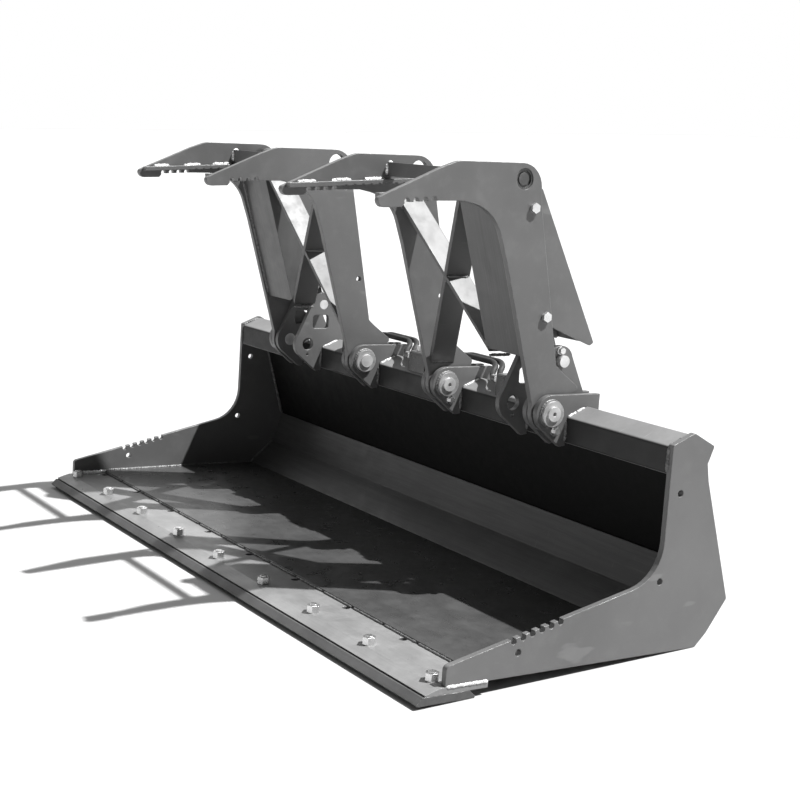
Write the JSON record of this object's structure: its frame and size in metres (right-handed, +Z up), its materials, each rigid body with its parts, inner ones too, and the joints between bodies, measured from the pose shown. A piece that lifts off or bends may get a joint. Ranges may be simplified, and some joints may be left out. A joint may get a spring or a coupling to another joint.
{
  "type": "skid steer grapple bucket",
  "caption": "Low-profile skid steer bucket with bolt-on edge and two hydraulic grapple arms, each with paired tines, crossed braces and a shielded cylinder.",
  "frame": {"origin": "middle of the row of edge bolts, on the top face of the base edge", "axes": "+X along the bucket towards its near end in the picture, -Y out of the open front, +Z up, square to the bucket's floor"},
  "size_m": [1.829, 0.7403, 0.9615],
  "materials": {
    "body_paint": "satin dark grey powder coat",
    "edge_steel": "mill scale on hot rolled wear steel",
    "plated_steel": "bright zinc plate",
    "bare_steel": "turned steel",
    "chrome_rod": "hard chrome",
    "cylinder_paint": "gloss black paint",
    "hose_rubber": "wrapped rubber hose"
  },
  "bodies": {
    "bucket": {"floor_plate": "body_paint", "heel_plate": "body_paint", "back_plate": "body_paint", "top_beam": "body_paint", "base_edge": "body_paint", "quick_attach_plate": "body_paint", "quick_attach_foot": "body_paint", "back_ribs": "body_paint", "short_lugs": "body_paint", "tall_lugs": "body_paint", "lug_bosses": "body_paint", "bolt_on_edge": "edge_steel", "edge_bolts": "plated_steel", "edge_nuts": "plated_steel", "pivot_pins": "plated_steel", "pivot_pin_bolts": "plated_steel", "base_pins": "plated_steel", "base_pin_bolts": "plated_steel", "hose_fittings": "plated_steel", "manifold": "cylinder_paint", "hose_ends": "cylinder_paint", "feed_hoses": "hose_rubber", "side_plate_left": "body_paint", "side_plate_right": "body_paint"},
    "arm_left": {"outer_tine_left": "body_paint", "inner_tine_left": "body_paint", "nose_bars_left": "body_paint", "cross_plate_left": "body_paint", "long_brace_left": "body_paint", "half_braces_left": "body_paint", "cylinder_channel_left": "body_paint", "rear_guard_left": "body_paint", "guard_bolts_left": "plated_steel", "tine_bushings_left": "bare_steel", "pin_collars_left": "bare_steel"},
    "cylinder_left": {"barrel_left": "cylinder_paint", "gland_left": "bare_steel", "barrel_ports_left": "plated_steel"},
    "plunger_left": {"piston_rod_left": "chrome_rod", "piston_left": "bare_steel", "rod_eye_left": "cylinder_paint", "rod_pin_left": "bare_steel"},
    "arm_right": {"outer_tine_right": "body_paint", "inner_tine_right": "body_paint", "nose_bars_right": "body_paint", "cross_plate_right": "body_paint", "long_brace_right": "body_paint", "half_braces_right": "body_paint", "cylinder_channel_right": "body_paint", "rear_guard_right": "body_paint", "guard_bolts_right": "plated_steel", "tine_bushings_right": "bare_steel", "pin_collars_right": "bare_steel"},
    "cylinder_right": {"barrel_right": "cylinder_paint", "gland_right": "bare_steel", "barrel_ports_right": "plated_steel"},
    "plunger_right": {"piston_rod_right": "chrome_rod", "piston_right": "bare_steel", "rod_eye_right": "cylinder_paint", "rod_pin_right": "bare_steel"}
  },
  "joints": [
    {"name": "arm_left_pivot", "type": "hinge", "parent": "bucket", "child": "arm_left", "pos_m": [-0.564, 0.455, 0.422], "axis": [1, 0, 0], "range_deg": [0, 60]},
    {"name": "cylinder_left_pivot", "type": "hinge", "parent": "bucket", "child": "cylinder_left", "pos_m": [-0.4985, 0.498, 0.527], "axis": [1, 0, 0], "range_deg": [0, 65]},
    {"name": "cylinder_left_stroke", "type": "slide", "parent": "cylinder_left", "child": "plunger_left", "axis": [0, -0.3615, 0.9324], "range_m": [0, 0.11]},
    {"name": "arm_right_pivot", "type": "hinge", "parent": "bucket", "child": "arm_right", "pos_m": [0.564, 0.455, 0.422], "axis": [1, 0, 0], "range_deg": [0, 60]},
    {"name": "cylinder_right_pivot", "type": "hinge", "parent": "bucket", "child": "cylinder_right", "pos_m": [0.4985, 0.498, 0.527], "axis": [1, 0, 0], "range_deg": [0, 65]},
    {"name": "cylinder_right_stroke", "type": "slide", "parent": "cylinder_right", "child": "plunger_right", "axis": [0, -0.3615, 0.9324], "range_m": [0, 0.11]}
  ],
  "couplings": [
    {"joint": "cylinder_left_pivot", "follows": "arm_left_pivot", "ratio": 1.08},
    {"joint": "cylinder_left_stroke", "follows": "arm_left_pivot", "m_per_rad": 0.1045},
    {"joint": "cylinder_right_pivot", "follows": "arm_right_pivot", "ratio": 1.08},
    {"joint": "cylinder_right_stroke", "follows": "arm_right_pivot", "m_per_rad": 0.1045}
  ]
}
